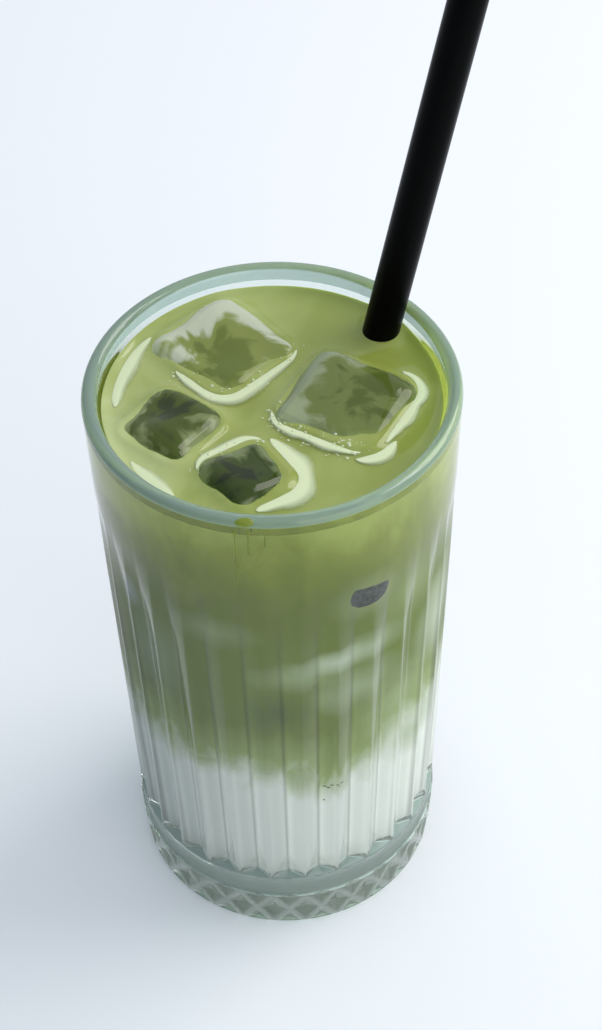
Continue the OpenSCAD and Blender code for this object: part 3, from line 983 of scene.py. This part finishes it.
# direction of each run in degrees, its upper and lower end and its width in mm
RUNS = [(-101.4, 147.4, 131.0, 0.45), (-92.7, 147.4, 143.2, 0.4), (-97.5, 147.6, 140.0, 0.6)]
RUN_STEPS, RUN_THICK = 16, 0.14
bm = bmesh.new()
bmesh.ops.create_icosphere(bm, subdivisions=3, radius=1.0,
                           matrix=Matrix.Translation(DROP * MM) @ Matrix.Scale(MM, 4)
                           @ Matrix.Diagonal(DROP_SIZE + (1,)))
for degrees, high, low, width in RUNS:
    out = Vector((math.cos(math.radians(degrees)), math.sin(math.radians(degrees)), 0))
    shares = [i / RUN_STEPS for i in range(RUN_STEPS + 1)]
    heights = [high + (low - high) * share for share in shares]
    path = [out * body_radius(z) + UP * z for z in heights]
    # a run is narrow where it has drained and full at its lower end
    widths = [width * (0.55 + 0.45 * share ** 3) for share in shares]
    sweep_film(bm, path, [out] * len(path), widths, RUN_THICK)
bmesh.ops.recalc_face_normals(bm, faces=bm.faces)
spilt_tea = clear_material("spilt_green_tea", "98A33C", 1.34, 0.06, "DDE3B4",
                           clearness=0.6)
finish_piece("spilt_drop_and_runs", bm, [spilt_tea])

# %% [markdown]
# Unstirred specks of tea powder cling to the inside of the glass.

# %% Specks of tea powder
SPECKS, SPECK_LOW, SPECK_HIGH = 26, 46, 134
CRUMBS = [(-73.4, 53.6), (-71.8, 53.0), (-70.4, 53.9)]  # directions and heights


def on_glass(degrees, z):
    """A place on the drink's skin, where it meets the glass."""
    spot = on_wall(degrees, z)
    spot.xy *= 1 + OVERLAP * MM / spot.xy.length
    return Matrix.Translation(spot)


bm = bmesh.new()
for _ in range(SPECKS):
    place = on_glass(dice.uniform(-180, 180), dice.uniform(SPECK_LOW, SPECK_HIGH))
    bmesh.ops.create_icosphere(bm, subdivisions=1, radius=dice.uniform(0.1, 0.3) * MM,
                               matrix=place)
for degrees, z in CRUMBS:
    bmesh.ops.create_icosphere(bm, subdivisions=2, radius=0.4 * MM,
                               matrix=on_glass(degrees, z)
                               @ Matrix.Diagonal((1.4, 0.6, 0.5, 1)))
# wet powder is dull and a darker green than the tea
powder, tree = new_material("wet_tea_powder")
shader = add_node(tree, "ShaderNodeBsdfPrincipled",
                  {"Base Color": linear("4E5A33"), "Roughness": 0.7, "IOR": 1.45})
add_node(tree, "ShaderNodeOutputMaterial", None, {"Surface": shader.outputs[0]})
finish_piece("tea_specks", bm, [powder])

# %% [markdown]
# ## Floor, light and air
# A pale table top, one large soft lamp from the right and behind, a weaker one from
# the right and the front, and cool light all round, as beside a window.

# %% Stage
TABLE_HALF = 3.0
TABLE_Z = -0.3 * MM  # just clear of the foot, because two faces in one plane flicker
bm = bmesh.new()
bmesh.ops.create_grid(bm, x_segments=1, y_segments=1, size=TABLE_HALF,
                      matrix=Matrix.Translation((0, 0, TABLE_Z)))
bmesh.ops.recalc_face_normals(bm, faces=bm.faces)
mesh = bpy.data.meshes.new("table_top")
bm.to_mesh(mesh)
bm.free()
table = bpy.data.objects.new("table_top", mesh)
bpy.context.scene.collection.objects.link(table)
matt, tree = new_material("matt_white_table")
shader = add_node(tree, "ShaderNodeBsdfPrincipled",
                  {"Base Color": linear("E9EDF2"), "Roughness": 0.6})
add_node(tree, "ShaderNodeOutputMaterial", None, {"Surface": shader.outputs[0]})
mesh.materials.append(matt)

# %% Lights
world = bpy.data.worlds.new("air")
bpy.context.scene.world = world
world.use_nodes = True
air = world.node_tree
sky = add_node(air, "ShaderNodeTexCoord")
# the room is bright above and on the window's side, and dim behind the camera
toward = add_node(air, "ShaderNodeVectorMath", {1: Vector((0.5, 0.45, 0.74))},
                  {0: sky.outputs["Generated"]}, operation="DOT_PRODUCT")
ramp = add_node(air, "ShaderNodeMapRange", {"From Min": -0.7, "From Max": 0.7},
                {"Value": toward.outputs["Value"]})
shade = add_node(air, "ShaderNodeValToRGB", None, {"Fac": ramp.outputs[0]})
fill_ramp(shade, [(0.0, "9AA4AE"), (0.45, "B4BEC8"), (0.75, "E6EEF8"), (1.0, "F4F9FF")])
air.links.new(shade.outputs["Color"], air.nodes["Background"].inputs["Color"])
air.nodes["Background"].inputs["Strength"].default_value = 0.85


def soft_lamp(name, at, aim, size, power, colour):
    """A square area lamp at one point, facing another; metres and watts."""
    data = bpy.data.lights.new(name, "AREA")
    data.energy = power
    data.size = size
    data.color = linear(colour)[:3]
    lamp = bpy.data.objects.new(name, data)
    lamp.location = at
    lamp.rotation_euler = (Vector(aim) - Vector(at)).to_track_quat("-Z", "Y").to_euler()
    bpy.context.scene.collection.objects.link(lamp)


soft_lamp("window", (0.82, 0.3, 0.9), (0, 0, 0.08), 0.8, 8.5, "FFFAF4")
soft_lamp("fill", (0.75, -1.1, 0.6), (0, 0, 0.06), 1.2, 6.0, "FFFCF8")
bpy.context.scene.view_settings.view_transform = "Standard"
print("lights set")
